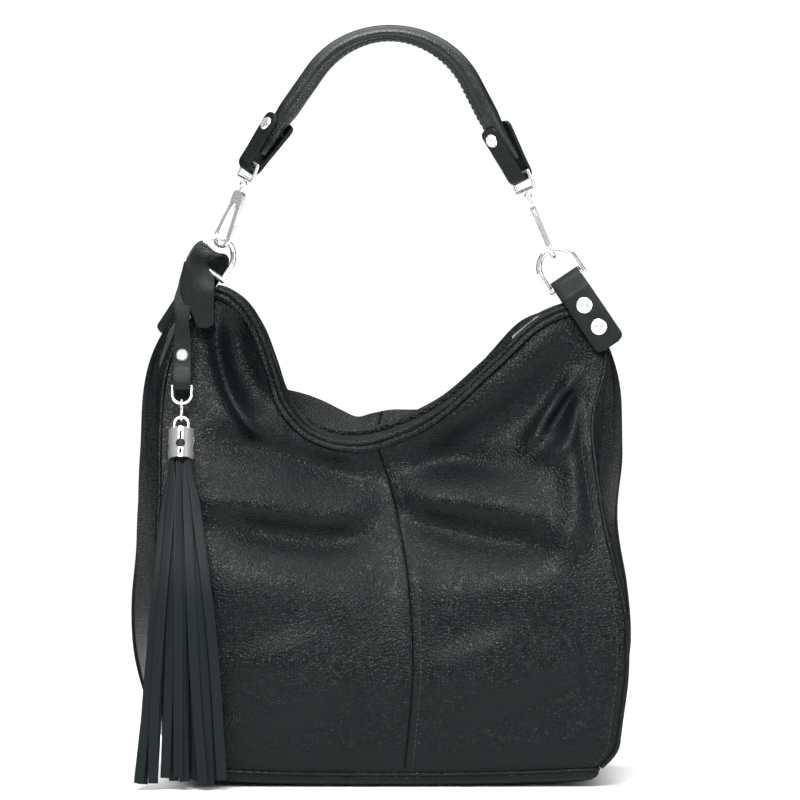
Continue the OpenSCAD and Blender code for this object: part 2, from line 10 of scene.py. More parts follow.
import bmesh
import bpy
import numpy as np
from mathutils import Matrix, Vector


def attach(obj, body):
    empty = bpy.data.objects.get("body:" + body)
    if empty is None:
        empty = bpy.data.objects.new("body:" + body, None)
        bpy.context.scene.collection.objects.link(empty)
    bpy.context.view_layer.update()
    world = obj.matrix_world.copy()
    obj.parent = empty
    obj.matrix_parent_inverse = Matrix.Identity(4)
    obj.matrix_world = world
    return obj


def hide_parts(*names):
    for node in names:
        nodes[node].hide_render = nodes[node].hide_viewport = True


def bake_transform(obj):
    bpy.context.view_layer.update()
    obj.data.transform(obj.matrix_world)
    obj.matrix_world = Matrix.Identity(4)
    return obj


MM = 0.001
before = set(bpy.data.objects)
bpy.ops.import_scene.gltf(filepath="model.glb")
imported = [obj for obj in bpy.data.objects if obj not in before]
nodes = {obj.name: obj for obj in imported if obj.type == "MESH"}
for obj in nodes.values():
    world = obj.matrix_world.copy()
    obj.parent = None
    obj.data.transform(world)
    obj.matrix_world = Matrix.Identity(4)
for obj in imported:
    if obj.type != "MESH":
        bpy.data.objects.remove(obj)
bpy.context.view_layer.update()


# ---------------------------------------------------------------- numbers
def mix(a, b, k):
    return a + (b - a) * k


def ease(k):
    c = np.clip(k, 0.0, 1.0)
    return c * c * (3 - 2 * c)


def smooth_curve(points):
    """A smooth function through [position, value] points, flat beyond its ends."""
    px, py = np.array(points, float).T
    slope = np.gradient(py, px)

    def at(x):
        x = np.clip(np.asarray(x, float), px[0], px[-1])
        i = np.clip(np.searchsorted(px, x) - 1, 0, len(px) - 2)
        h = px[i + 1] - px[i]
        k = (x - px[i]) / h
        low = (1 + 2 * k) * (1 - k) ** 2 * py[i] + k * (1 - k) ** 2 * h * slope[i]
        high = k * k * (3 - 2 * k) * py[i + 1] + k * k * (k - 1) * h * slope[i + 1]
        return low + high

    return at


def lengths_along(points):
    """Distance from the first point of a row to each of its points."""
    return np.concatenate([[0], np.cumsum(np.linalg.norm(np.diff(points, axis=0), axis=1))])


def path_curve(points):
    """A smooth path through points: a function of the share of its length."""
    p = np.array(points, float)
    run = lengths_along(p)
    axes = [smooth_curve(np.column_stack([run / run[-1], p[:, a]])) for a in range(p.shape[1])]
    return lambda k: np.stack([a(k) for a in axes], axis=-1)


def unit(v):
    v = np.asarray(v, float)
    return v / np.maximum(np.linalg.norm(v, axis=-1, keepdims=True), 1e-9)


# ---------------------------------------------------------------- the bag's shape
SEAM_Z = 10  # height of the seam between the walls and the base
BASE_HALF = 70  # half of the base's depth
LEATHER = 2.0
LINING_IN = 2.5
LINING_T = 0.8
CORNER = (343, 335)  # heights of the left and the right upper corner

# Left and right edge of the front (-1) and the back (1): height to x
EDGES = {
    -1: (
        smooth_curve([[10, -146], [100, -152], [200, -153], [290, -148], [343, -128]]),
        smooth_curve([[10, 160], [110, 168], [190, 152], [255, 147], [295, 156], [335, 142]]),
    ),
    1: (
        smooth_curve([[10, -150], [40, -165], [80, -176], [165, -175], [225, -172], [300, -160],
                      [343, -133]]),
        smooth_curve([[10, 152], [40, 163], [80, 176], [130, 174], [175, 167], [225, 170],
                      [290, 164], [335, 144]]),
    ),
}
# The front rim's line, in x and z; the back rim rises over it in the middle
RIM = path_curve([
    [-128, 343], [-111, 341], [-99, 333], [-86, 313], [-77, 287], [-69, 262], [-57, 246],
    [-40, 237], [-20, 235], [10, 243], [36, 256], [75, 290], [111, 322], [142, 335]])
BACK_RISE = 7

FOLD_DEPTH = 2.2

# Sideways shift of the middle seam, as a share of the width, from the base to the rim
SEAM_SHIFT = smooth_curve([[0, 0], [0.43, 0.022], [0.77, 0.042], [0.92, 0.026], [1, 0.01]])

# Height to which the back leather flops over behind the back rim
CREST = smooth_curve([
    [-90, 273], [-66, 270], [-54, 267], [-41, 262], [-28, 255.5], [-17, 251], [-7, 253.5], [7, 256],
    [21, 256], [40, 258], [58, 275], [78, 298], [97, 318], [117, 326], [136, 326]])

# Folds: path in x and z, half width, height outwards
FRONT_FOLDS = [
    ([[-126, 256], [-84, 247], [-46, 230], [0, 232]], 11, 2.4),
    ([[-136, 238], [-70, 229], [-24, 214], [6, 200]], 10, -2.6),
    ([[-150, 204], [-70, 193], [-25, 187], [10, 192]], 14, 3.6),
    ([[-122, 184], [-70, 171], [-34, 167], [10, 180]], 11, -3.8),
    ([[-140, 142], [-50, 138], [20, 128]], 24, 2.8),
    ([[-8, 206], [40, 222], [90, 220], [132, 228]], 10, -2.2),
    ([[0, 198], [60, 197], [104, 188], [134, 176]], 14, 3.4),
    ([[0, 192], [44, 175], [78, 168], [134, 164]], 11, -3.8),
    ([[0, 138], [80, 138], [150, 142]], 24, 3.0),
    ([[130, 250], [134, 205], [131, 175], [110, 150]], 11, 3.0),
    ([[-4, 236], [2, 205], [8, 172]], 14, -2.2),
    ([[-115, 336], [-112.5, 295], [-105.7, 272], [-93, 250], [-78, 232]], 5.0, 3.8),
    ([[-104, 330], [-98, 292], [-78, 250]], 12, -4.8),
    ([[142, 292], [117, 256], [96, 224]], 5.5, 3.0),
    ([[140, 272], [131, 238], [102, 218]], 5.5, 2.6),
    ([[136, 274], [114, 238]], 6, -2.8),
    ([[144, 276], [140, 232]], 6, -2.4),
    ([[136, 312], [108, 258], [67, 236], [10, 214]], 20, -4.4),
    ([[134, 330], [94, 286], [44, 250], [6, 238]], 16, 3.6),
    ([[60, 110], [90, 50]], 35, 2.2),
    ([[-80, 110], [-50, 40]], 35, 2.2),
]
BACK_FOLDS = [
    ([[-150, 208], [-60, 198], [0, 206], [60, 200], [150, 210]], 16, 4.0),
    ([[-130, 174], [-50, 168], [0, 176], [70, 168], [140, 176]], 12, -4.2),
    ([[-130, 140], [0, 134], [130, 142]], 24, 3.2),
    ([[-3, 240], [2, 195]], 14, -2.6),
    ([[-130, 326], [-112, 270], [-78, 232]], 6, 3.0),
    ([[-110, 322], [-88, 258]], 10, -3.4),
    ([[134, 306], [112, 258], [82, 228]], 6, 3.0),
    ([[114, 310], [92, 258]], 10, -3.0),
    ([[-70, 100], [-40, 40]], 38, 2.0),
    ([[60, 105], [90, 40]], 38, 2.0),
]
FOLDS = {-1: FRONT_FOLDS, 1: BACK_FOLDS}


def fold_sum(x, z, folds):
    """Height of a set of folds: each fades away from its path and towards its ends."""
    total = np.zeros_like(x)
    for path, width, height in folds:
        p = path_curve(path)(np.linspace(0, 1, 4 * len(path) - 3))
        near = np.full_like(x, 1e9)
        share = np.zeros_like(x)
        for i, (a, b) in enumerate(zip(p[:-1], p[1:])):
            d = b - a
            k = np.clip(((x - a[0]) * d[0] + (z - a[1]) * d[1]) / (d @ d), 0, 1)
            away = np.hypot(x - a[0] - k * d[0], z - a[1] - k * d[1])
            share = np.where(away < near, (i + k) / (len(p) - 1), share)
            near = np.minimum(near, away)
        fade = ease(share / 0.3) * ease((1 - share) / 0.3)
        total += height * fade * np.exp(-((near / width) ** 2))
    return total


def half_depth(s, t):
    """Half of the bag's depth at the share s of its width and t of its height."""
    top = mix(18, 6, (2 * s - 1) ** 2)
    return mix(BASE_HALF, top, ease((t - 0.25) / 0.75))


def rim_at(side, s):
    """x and z of a rim."""
    p = RIM(s)
    return p[..., 0], p[..., 1] + (BACK_RISE * np.sin(np.pi * s) if side > 0 else 0)


# Inward curl of the walls over the base seam: sideways, front to back, and its height
CURL_X, CURL_Y, CURL_H = 11.0, 5.0, 20.0


def bottom_curl(z):
    """How far the walls have curled in towards the base seam, from 0 to 1."""
    return np.clip(1 - (z - SEAM_Z) / CURL_H, 0, 1) ** 2


def end_lift(x):
    """How far the two ends of the base stand up off the floor."""
    return 3.4 * np.clip((np.abs(x - 6) - 30) / 112, 0, 1.2) ** 1.7


def seam_groove(s, width):
    """A sewn middle seam: a groove with the folded allowance lying to its right."""
    d = (s - 0.5) * width
    groove = -0.9 * np.exp(-((d / 0.8) ** 2))
    return groove + 0.7 * ease((d + 0.4) / 1.0) * ease((7.0 - d) / 1.5)


def wall(side, s, t, inset=0.0):
    """Points of the front (side -1) or back (side 1) wall, inset under its face."""
    s, t = np.broadcast_arrays(np.asarray(s, float), np.asarray(t, float))
    rim_x, rim_z = rim_at(side, s)
    z = mix(SEAM_Z, rim_z, t)
    left, right = (edge(z) for edge in EDGES[side])
    rim_left, rim_right = (edge(rim_z) for edge in EDGES[side])
    # The panels are shared out along the edges at the base and along the rim at the top
    low_share = s + 0.116 * s * (1 - s)
    rim_share = (rim_x - rim_left) / (rim_right - rim_left)
    share = mix(low_share, rim_share, ease((t - 0.15) / 0.85))
    share = np.clip(share + 4 * s * (1 - s) * SEAM_SHIFT(t), 0, 1)
    x = mix(left + inset, right - inset, share)
    # Folds, the middle seam and a gentle swell, pinned flat at the edges
    pinned = ease((x - left) / 16) * ease((right - x) / 16) * ease(t / 0.06) * ease((1.01 - t) / 0.05)
    lift = FOLD_DEPTH * fold_sum(x, z, FOLDS[side]) * pinned
    width = right - left
    lift += seam_groove(s, width) * ease(t / 0.03)
    lift += 1.6 * np.sin(np.pi * np.clip(share, 0, 1)) * np.sin(np.pi * np.clip(t, 0, 1))
    curl = bottom_curl(z)
    z = z + (end_lift(x) - 1.0) * (1 - ease(t / 0.12))
    y = side * (half_depth(s, t) + lift - inset - CURL_Y * curl)
    x = x + CURL_X * curl * (1 - 2 * share)
    if side > 0 and inset <= LEATHER:
        # The back leather stands up to the crest and flops over outwards
        roll = ease((t - 0.82) / 0.12) * ease((1.0 - t) / 0.06)
        short = CREST(x) - z
        rise = roll * 0.5 * (short + np.sqrt(short ** 2 + 30))
        rise = rise * ease((x + 92) / 14) * ease((136 - x) / 20)
        z = z + rise
        y = y + 0.45 * rise
    return np.stack([x, y, z], axis=-1)


def side_wall(hand, g, t, inset=0.0):
    """Points of the left (hand -1) or right (hand 1) gusset, folded inwards."""
    g, t = np.broadcast_arrays(np.asarray(g, float), np.asarray(t, float))
    z = mix(SEAM_Z, CORNER[0] - 2 if hand < 0 else CORNER[1] - 2, t)
    edge = 0 if hand < 0 else 1
    near, far = EDGES[-1][edge](z), EDGES[1][edge](z)
    tuck = 9 * ease(t * 2) * (1 - 0.6 * ease(t * 2 - 1)) * np.sin(np.pi * g)
    ridges = 2.4 * ease(t * 4) * ease((1 - t) * 5) * np.sin(g * 6 * np.pi + 1.2 * np.sin(t * 5))
    lumps = 1.6 * np.sin(9 * t + 3 * g) * np.sin(np.pi * g) * ease((1 - t) * 4)
    curl = bottom_curl(z)
    z = z + (end_lift(mix(near, far, g)) - 1.0) * (1 - ease(t / 0.12))
    x = mix(near, far, g) - hand * (inset + CURL_X * curl + tuck - (ridges + lumps) * np.sin(np.pi * g))
    y = mix(-1, 1, g) * (half_depth(0.0, t) - inset - CURL_Y * curl)
    return np.stack([x, y, z], axis=-1)


# ---------------------------------------------------------------- meshes
def put(name, verts, faces, body, slot, material, replaced=(), crease=38):
    """Makes a smooth-shaded piece from millimetre points; it rides on its body, if one is given."""
    mesh = bpy.data.meshes.new(name)
    mesh.from_pydata((np.asarray(verts, float) * MM).tolist(), [], faces)
    work = bmesh.new()
    work.from_mesh(mesh)
    bmesh.ops.recalc_face_normals(work, faces=work.faces)
    work.to_mesh(mesh)
    work.free()
    mesh.shade_smooth()
    mesh.set_sharp_from_angle(angle=math.radians(crease))
    mesh.materials.append(material)
    piece = bpy.data.objects.new(name, mesh)
    bpy.context.scene.collection.objects.link(piece)
    if body:
        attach(piece, body)
    if replaced:
        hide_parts(*replaced)
    return piece


def shell_parts(outer, inner):
    """Vertices and faces of a closed skin between two grids of the same size."""
    n, m = outer.shape[:2]
    verts = np.concatenate([outer.reshape(-1, 3), inner.reshape(-1, 3)])
    index = np.arange(n * m).reshape(n, m)
    faces = []
    for shift, flip in ((0, False), (n * m, True)):
        i = index + shift
        quads = np.stack([i[:-1, :-1], i[:-1, 1:], i[1:, 1:], i[1:, :-1]], -1).reshape(-1, 4)
        faces += (quads[:, ::-1] if flip else quads).tolist()
    rim = np.concatenate([index[0, :-1], index[:-1, -1], index[-1, :0:-1], index[:0:-1, 0]])
    after = np.roll(rim, -1)
    faces += np.stack([rim, rim + n * m, after + n * m, after], -1).tolist()
    return verts, faces


def wall_shell(name, side, ss, ts, outer, inner, **look):
    s, t = np.meshgrid(ss, ts)
    verts, faces = shell_parts(wall(side, s, t, outer), wall(side, s, t, inner))
    return put(name, verts, faces, "bag", **look)


def side_shell(name, hand, gs, ts, outer, inner, **look):
    g, t = np.meshgrid(gs, ts)
    verts, faces = shell_parts(side_wall(hand, g, t, outer), side_wall(hand, g, t, inner))
    return put(name, verts, faces, "bag", **look)


def sweep_parts(rings, closed_path=False):
    """A tube through rings of points (rings, points, 3), capped unless it closes."""
    n, m = rings.shape[:2]
    index = np.arange(n * m).reshape(n, m)
    rows = np.concatenate([index, index[:1]]) if closed_path else index
    after = np.roll(rows, -1, axis=1)
    faces = np.stack([rows[:-1], after[:-1], after[1:], rows[1:]], -1).reshape(-1, 4).tolist()
    if not closed_path:
        faces += [index[0].tolist(), index[-1, ::-1].tolist()]
    return rings.reshape(-1, 3), faces


def join_parts(parts):
    verts, faces, count = [], [], 0
    for v, f in parts:
        verts.append(v)
        faces += [[i + count for i in face] for face in f]
        count += len(v)
    return np.concatenate(verts), faces


def along(points):
    """Unit directions along a row of points."""
    return unit(np.gradient(points, axis=0))


def surface_normals(surface, us, vs):
    """Normals along a line on a surface(u, v)."""
    step = 1e-3
    du = surface(us + step, vs) - surface(us - step, vs)
    dv = surface(us, vs + step) - surface(us, vs - step)
    return unit(np.cross(du, dv))


def resample(points, spacing, *others):
    """A row of points, and others beside it, in equal steps of about spacing."""
    run = lengths_along(points)
    at = np.linspace(0, run[-1], max(2, int(run[-1] / spacing)))
    return [np.stack([np.interp(at, run, q[:, a]) for a in range(3)], -1) for q in (points, *others)]


def stitch_parts(points, normals, pitch=4.2, length=3.1, r=0.42, lift=0.15):
    """Threads lying along a line on a surface, dipping in at both ends."""
    p, up = resample(points, pitch, normals)
    up = unit(up)
    ahead = along(p)
    parts = []
    for q, t, n in zip(p, ahead, up):
        across = np.cross(t, n)
        rings = []
        for k in (-1, -0.6, 0, 0.6, 1):
            centre = q + t * k * length / 2 + n * (lift - 0.55 * k * k * r)
            size = r * (1 - 0.55 * k * k)
            turn = np.linspace(0, 2 * np.pi, 6, endpoint=False)
            rings.append([centre + size * (math.cos(a) * across + math.sin(a) * n) for a in turn])
        parts.append(sweep_parts(np.array(rings)))
    return parts


def stitches(name, rows, body, material, slot="strap_leather", **kind):
    """One piece of all the threads on some rows of points and normals."""
    parts = [part for points, normals in rows for part in stitch_parts(points, normals, **kind)]
    verts, faces = join_parts(parts)
    return put(name, verts, faces, body, slot, material, crease=80)


def strap_parts(centre, across, half, thick, layers=1, corner=0.7):
    """A strap swept along centre: across points along its width, half is its half width.

    The section is a rounded bar; with two layers a groove runs round its edge."""
    ahead = along(centre)
    across = unit(across - np.sum(across * ahead, -1, keepdims=True) * ahead)
    face = np.cross(ahead, across)
    half = np.broadcast_to(half, (len(centre),))
    thick = np.broadcast_to(thick, (len(centre),))
    rings = []
    for c, w, f, h, th in zip(centre, across, face, half, thick):
        side = []
        for layer in range(layers):
            low = -th / 2 + th * layer / layers
            high = low + th / layers
            cut = min(corner, (high - low) / 2.2)
            side += [(-cut, low), (-cut * 0.3, low + cut * 0.3), (0, low + cut),
                     (0, high - cut), (-cut * 0.3, high - cut * 0.3), (-cut, high)]
        right = [(h + a, b) for a, b in side]
        middle = [(h * k, th / 2) for k in (0.5, 0, -0.5)]
        left = [(-x, y) for x, y in reversed(right)]
        under = [(h * k, -th / 2) for k in (-0.5, 0, 0.5)]
        rings.append([c + x * w + y * f for x, y in right + middle + left + under])
    return sweep_parts(np.array(rings))


def rounded_half(count, total, half, cut):
    """Half widths at count steps of a strap of that total length with rounded ends."""
    run = np.linspace(0, 1, count)
    away = np.minimum(run, 1 - run) * total
    return half - np.maximum(0.0, cut - np.sqrt(cut * cut - np.maximum(0.0, cut - away) ** 2))


# ---------------------------------------------------------------- materials
MAP_KEYS = ("From Min", "From Max", "To Min", "To Max")


class Look:
    """A small builder for one procedural material."""

    def __init__(self, name):
        self.material = bpy.data.materials.new(name)
        self.material.use_nodes = True
        self.tree = self.material.node_tree
        self.shader = self.tree.nodes["Principled BSDF"]
        self.place = self.node("ShaderNodeTexCoord").outputs["Object"]
        self.height = None

    def node(self, kind, **settings):
        made = self.tree.nodes.new(kind)
        for key, value in settings.items():
            setattr(made, key, value)
        return made

    def link(self, a, b):
        self.tree.links.new(a, b)

    def noise(self, size_mm, detail=2, rough=0.5):
        made = self.node("ShaderNodeTexNoise")
        made.inputs["Scale"].default_value = 1 / (size_mm * MM)
        made.inputs["Detail"].default_value = detail
        made.inputs["Roughness"].default_value = rough
        self.link(self.place, made.inputs["Vector"])
        return made.outputs["Fac"]

    def remap(self, value, low, high, to_low, to_high, smooth=False):
        made = self.node("ShaderNodeMapRange")
        made.interpolation_type = "SMOOTHSTEP" if smooth else "LINEAR"
        for key, number in zip(MAP_KEYS, (low, high, to_low, to_high)):
            made.inputs[key].default_value = number
        self.link(value, made.inputs["Value"])
        return made.outputs["Result"]

    def maths(self, kind, a, b):
        made = self.node("ShaderNodeMath", operation=kind)
        for socket, value in zip(made.inputs, (a, b)):
            if isinstance(value, (int, float)):
                socket.default_value = value
            else:
                self.link(value, socket)
        return made.outputs[0]

    def blend(self, factor, a, b):
        made = self.node("ShaderNodeMix", data_type="RGBA")
        self.link(factor, made.inputs["Factor"])
        made.inputs[6].default_value = (*a, 1)
        made.inputs[7].default_value = (*b, 1)
        return made.outputs[2]

    def bump(self, height, depth_mm):
        made = self.node("ShaderNodeBump")
        made.inputs["Distance"].default_value = depth_mm * MM
        self.link(height, made.inputs["Height"])
        if self.height is not None:
            self.link(self.height, made.inputs["Normal"])
        self.height = made.outputs["Normal"]

    def finish(self, colour, roughness, **constants):
        self.set("Base Color", colour)
        self.set("Roughness", roughness)
        for key, value in constants.items():
            self.shader.inputs[key.replace("_", " ")].default_value = value
        if self.height is not None:
            self.link(self.height, self.shader.inputs["Normal"])
        return self.material

    def set(self, socket, value):
        if isinstance(value, (int, float)):
            self.shader.inputs[socket].default_value = value
        elif isinstance(value, tuple):
            self.shader.inputs[socket].default_value = (*value, 1)
        else:
            self.link(value, self.shader.inputs[socket])

    def pebbles(self, cell_mm):
        """Height of leather grain: domed cells of uneven size between fine grooves."""
        wobble = self.node("ShaderNodeTexNoise")
        wobble.inputs["Scale"].default_value = 0.45 / (cell_mm * MM)
        self.link(self.place, wobble.inputs["Vector"])
        shift = self.node("ShaderNodeVectorMath", operation="SCALE")
        shift.inputs["Scale"].default_value = cell_mm * MM * 0.9
        self.link(wobble.outputs["Color"], shift.inputs[0])
        moved = self.node("ShaderNodeVectorMath", operation="ADD")
        self.link(self.place, moved.inputs[0])
        self.link(shift.outputs[0], moved.inputs[1])
        cells = self.node("ShaderNodeTexVoronoi", feature="DISTANCE_TO_EDGE")
        cells.inputs["Scale"].default_value = 1 / (cell_mm * MM)
        self.link(moved.outputs[0], cells.inputs["Vector"])
        return self.remap(cells.outputs["Distance"], 0.0, 0.32, 0.0, 1.0, smooth=True)


def leather(name, deep, light, cell_mm, depth_mm, roughness, level):
    """Dark leather whose grain is bump, with painted highlight and shade: a little lighter on top of its
    pebbles, darker in the grooves.
    """
    look = Look(name)
    grain = look.pebbles(cell_mm)
    fine = look.noise(cell_mm * 0.28, 3, 0.6)
    broad = look.noise(38, 3)
    crease = look.noise(9, 4, 0.65)
    look.bump(grain, depth_mm)
    look.bump(fine, depth_mm * 0.12)
    look.bump(crease, 0.08)
    # Painted highlight and shade: the colour follows the pebbles' height, lighter on their tops and darker
    # in the grooves; the broad noise is random tone.
    tone = look.maths("MULTIPLY", look.remap(grain, 0, 1, 0.45, 1.0), look.remap(broad, 0.3, 0.7, 0.6, 1.0))
    gloss = look.remap(look.noise(14, 2), 0.3, 0.7, roughness - 0.05, roughness + 0.06)
    return look.finish(look.blend(tone, deep, light), gloss, Specular_IOR_Level=level)


def cloth(name, dark, light, thread_mm, roughness):
    look = Look(name)
    heights = []
    for axis in ("X", "Z"):
        wave = look.node("ShaderNodeTexWave", bands_direction=axis)
        wave.inputs["Scale"].default_value = 0.314 / (thread_mm * MM)
        wave.inputs["Distortion"].default_value = 0.6
        look.link(look.place, wave.inputs["Vector"])
        heights.append(wave.outputs["Fac"])
    weave = look.maths("MULTIPLY", *heights)
    look.bump(weave, 0.12)
    tone = look.maths("MULTIPLY", weave, look.remap(look.noise(20), 0.3, 0.7, 0.6, 1.0))
    return look.finish(look.blend(tone, dark, light), roughness, Sheen_Weight=0.25)


def metal(name, colour, roughness, scratch_mm=0.004):
    look = Look(name)
    worn = look.noise(6, 4, 0.7)
    look.bump(look.noise(1.4, 5, 0.7), scratch_mm)
    warm = tuple(c * 0.86 for c in colour)
    return look.finish(
        look.blend(worn, warm, colour), look.remap(worn, 0.3, 0.7, roughness * 0.75, roughness * 1.35),
        Metallic=0.85)


def plain_fibre(name, dark, light, size_mm, roughness):
    look = Look(name)
    fibre = look.noise(size_mm, 4, 0.7)
    look.bump(fibre, 0.2)
    return look.finish(look.blend(fibre, dark, light), roughness, Specular_IOR_Level=0.16)


BODY = leather("body_leather", (0.0010, 0.0016, 0.0018), (0.0040, 0.0062, 0.0068), 2.1, 0.22, 0.33, 0.15)
STRAP = leather("strap_leather", (0.002, 0.0035, 0.0035), (0.0055, 0.0085, 0.0085), 1.2, 0.07, 0.42, 0.2)
HANDLE = leather("handle_leather", (0.002, 0.0035, 0.0035), (0.0065, 0.0105, 0.010), 1.5, 0.06, 0.34, 0.45)
FRINGE = plain_fibre("fringe_leather", (0.0012, 0.0028, 0.0031), (0.0055, 0.0105, 0.011), 1.6, 0.5)
LINING = cloth("lining", (0.006, 0.006, 0.007), (0.03, 0.03, 0.032), 0.9, 0.8)
TAPE = cloth("zip_tape", (0.006, 0.006, 0.006), (0.022, 0.022, 0.023), 0.6, 0.75)
THREAD = plain_fibre("thread", (0.012, 0.014, 0.014), (0.05, 0.055, 0.055), 0.3, 0.6)
COIL = plain_fibre("zip_coil", (0.01, 0.01, 0.01), (0.03, 0.03, 0.03), 0.4, 0.4)
BOARD = plain_fibre("board", (0.1, 0.08, 0.06), (0.2, 0.17, 0.14), 1.5, 0.9)
NICKEL = metal("nickel", (0.86, 0.86, 0.85), 0.13)
SATIN = metal("satin_nickel", (0.90, 0.90, 0.88), 0.30, 0.008)
BODY_LOOK = dict(slot="body_leather", material=BODY)
LINING_LOOK = dict(slot="lining", material=LINING)


# ---------------------------------------------------------------- leather body
def spread(low, high, step, dense_at=None):
    """Even shares, with extra lines close to a seam at one end."""
    shares = np.linspace(low, high, max(2, int(round((high - low) / step)) + 1))
    if dense_at is None:
        return shares
    near = dense_at + np.array([0.0015, 0.003, 0.005, 0.0075, 0.011, 0.016, 0.022]) * (
        1 if dense_at == low else -1)
    keep = np.abs(shares - dense_at) > 0.024
    return np.sort(np.concatenate([shares[keep], near, [dense_at]]))


LEVELS = np.concatenate([np.linspace(0, 0.8, 150), np.linspace(0.8, 1, 54)[1:]])
WALL_STEP = 1 / 200


def build_walls():
    for side, word in ((-1, "front"), (1, "back")):
        for s0, s1, hand in ((0.003, 0.4999, "left"), (0.5001, 0.997, "right")):
            seam = s1 if hand == "left" else s0
            wall_shell(
                f"{word}_leather_{hand}", side, spread(s0, s1, WALL_STEP, seam), LEVELS, 0, LEATHER,
                replaced=[f"{word}_panel_{hand}"], **BODY_LOOK)
        wall_shell(
            f"lining_cloth_{word}", side, np.linspace(0.003, 0.997, 90), np.linspace(0.02, 0.97, 80),
            LINING_IN, LINING_IN + LINING_T, replaced=[f"lining_{word}"], **LINING_LOOK)
    for hand, word in ((-1, "left"), (1, "right")):
        side_shell(
            f"gusset_leather_{word}", hand, np.linspace(0.02, 0.98, 48), LEVELS, 0, LEATHER,
            replaced=[f"gusset_{word}"], **BODY_LOOK)
        side_shell(
            f"lining_cloth_{word}", hand, np.linspace(0.08, 0.92, 30), np.linspace(0.02, 0.93, 80),
            LINING_IN, LINING_IN + LINING_T, replaced=[f"lining_{word}"], **LINING_LOOK)
    pocket = LINING_IN + LINING_T + 0.3
    wall_shell(
        "pocket_cloth", 1, np.linspace(0.3, 0.7, 50), np.linspace(0.3, 0.72, 40), pocket,
        pocket + LINING_T, replaced=["inner_pocket"], **LINING_LOOK)


def rounded_outline(e, corner=1.5, steps=5):
    """The base's outline inside its seam, moved in by e, with rounded corners."""
    ex = e + CURL_X - CURL_Y
    ends = np.array([
        (EDGES[-1][0](SEAM_Z) + ex, -BASE_HALF + e), (EDGES[-1][1](SEAM_Z) - ex, -BASE_HALF + e),
        (EDGES[1][1](SEAM_Z) - ex, BASE_HALF - e), (EDGES[1][0](SEAM_Z) + ex, BASE_HALF - e)], float)
    pts = []
    for c, last, following in zip(ends, np.roll(ends, 1, axis=0), np.roll(ends, -1, axis=0)):
        before, after = unit(last - c), unit(following - c)
        for k in np.linspace(0, 1, steps):
            pts.append(mix(c + before * corner * (1 - k), c + after * corner * k, k))
        for k in np.linspace(0, 1, 26)[1:-1]:
            pts.append(mix(c + after * corner, following - after * corner, k))
    return np.array(pts)


def base_sheet(name, levels, slot, material, replaced):
    """A closed sheet through outlines of the base: levels are [inset, height]."""
    rings = []
    for e, z in levels:
        line = rounded_outline(e)
        rings.append(np.column_stack([line, z - min(z / 8, 1) + end_lift(line[:, 0])]))
    verts, faces = sweep_parts(np.array(rings), closed_path=True)
    put(name, verts, faces, "bag", slot, material, [replaced])


def build_base():
    """A tray that bulges a little between its seam and the floor, with a board and a lining."""
    spread_in = (30, 45, 60, 69.95)
    outer = [(5.2, 10.4), (4.4, 8.6), (4.6, 6.4), (6.0, 4.2), (9.2, 2.0), (13.5, 0.6), (19, 0.0)]
    inner = [(20, 2.0), (14, 2.6), (10.4, 4.0), (8.0, 6.4), (7.2, 9.7)]
    floor = [(e, 0.0) for e in spread_in] + [(e, 2.0) for e in reversed(spread_in)]
    base_sheet("base_leather", outer + floor + inner, "body_leather", BODY, "base_panel")
    for name, e, low, high, slot, material in (
            ("base_board", 16, 2.6, 4.6, "board", BOARD), ("lining_floor", 12, 5.2, 6.0, "lining", LINING)):
        rims = (e, *spread_in)
        levels = [(k, low) for k in rims] + [(k, high) for k in reversed(rims)]
        base_sheet(f"{name}_sheet", levels, slot, material, name)


def rim_line(side, count=190):
    """The rim's points, with the directions out of the wall and down it."""
    ss = np.linspace(0.035, 0.965, count)
    under = LEATHER + 0.1  # below the flopped leather, whose slope would tip the band
    n = surface_normals(lambda u, v: wall(side, u, v, under), ss, np.full(count, 0.985))
    top = wall(side, ss, np.ones(count))
    n = unit(n * np.sign(np.sum(n * np.array([0, side, 0.0]), -1, keepdims=True)))
    ahead = along(top)
    down = unit(np.cross(ahead, n))
    down = down * np.sign(-down[:, 2:3])
    return top, n, down


def build_rims():
    """Bands folded over both rims, each with a rolled edge and a row of stitches."""
    # Section of a band: distance down from the rim, and out of the wall
    profile = [(7.0, 0.25), (7.0, 1.5), (6.4, 2.0), (4.6, 2.1), (3.2, 1.9), (2.6, 1.3), (2.1, 1.9),
               (1.2, 2.6), (0.0, 2.5), (-1.2, 1.5), (-1.7, 0.0), (-1.4, -1.8), (0.0, -3.0), (3.0, -3.0),
               (6.0, -2.9), (6.0, -2.4), (2.0, -2.3), (1.0, -0.6), (2.0, 0.2)]
    for side, word in ((-1, "front"), (1, "back")):
        top, n, down = rim_line(side)
        rings = np.stack([top + d * down + e * n for d, e in profile], axis=1)
        verts, faces = sweep_parts(rings)
        put(f"rim_edge_{word}", verts, faces, "bag", replaced=[f"rim_band_{word}"], crease=50, **BODY_LOOK)
        stitches(f"rim_stitches_{word}", [(top + 4.7 * down + 2.1 * n, n)], "bag", THREAD,
                 slot="body_leather", pitch=3.6, length=2.7, r=0.36)


def tube_parts(points, radius, sides=10, flat=None, squeeze=1.0):
    """A tube round points; flat, where given, is the direction that squeeze thins."""
    ahead = along(points)
    ref = np.broadcast_to(np.array([0.0, 1.0, 0.0]) if flat is None else flat, points.shape)
    a = unit(ref - np.sum(ref * ahead, -1, keepdims=True) * ahead)
    b = np.cross(ahead, a)
    radius = np.broadcast_to(radius, (len(points),))[:, None]
    turn = np.linspace(0, 2 * np.pi, sides, endpoint=False)
    rings = np.stack(
        [points + radius * (squeeze * math.cos(k) * a + math.sin(k) * b) for k in turn], axis=1)
    return sweep_parts(rings)


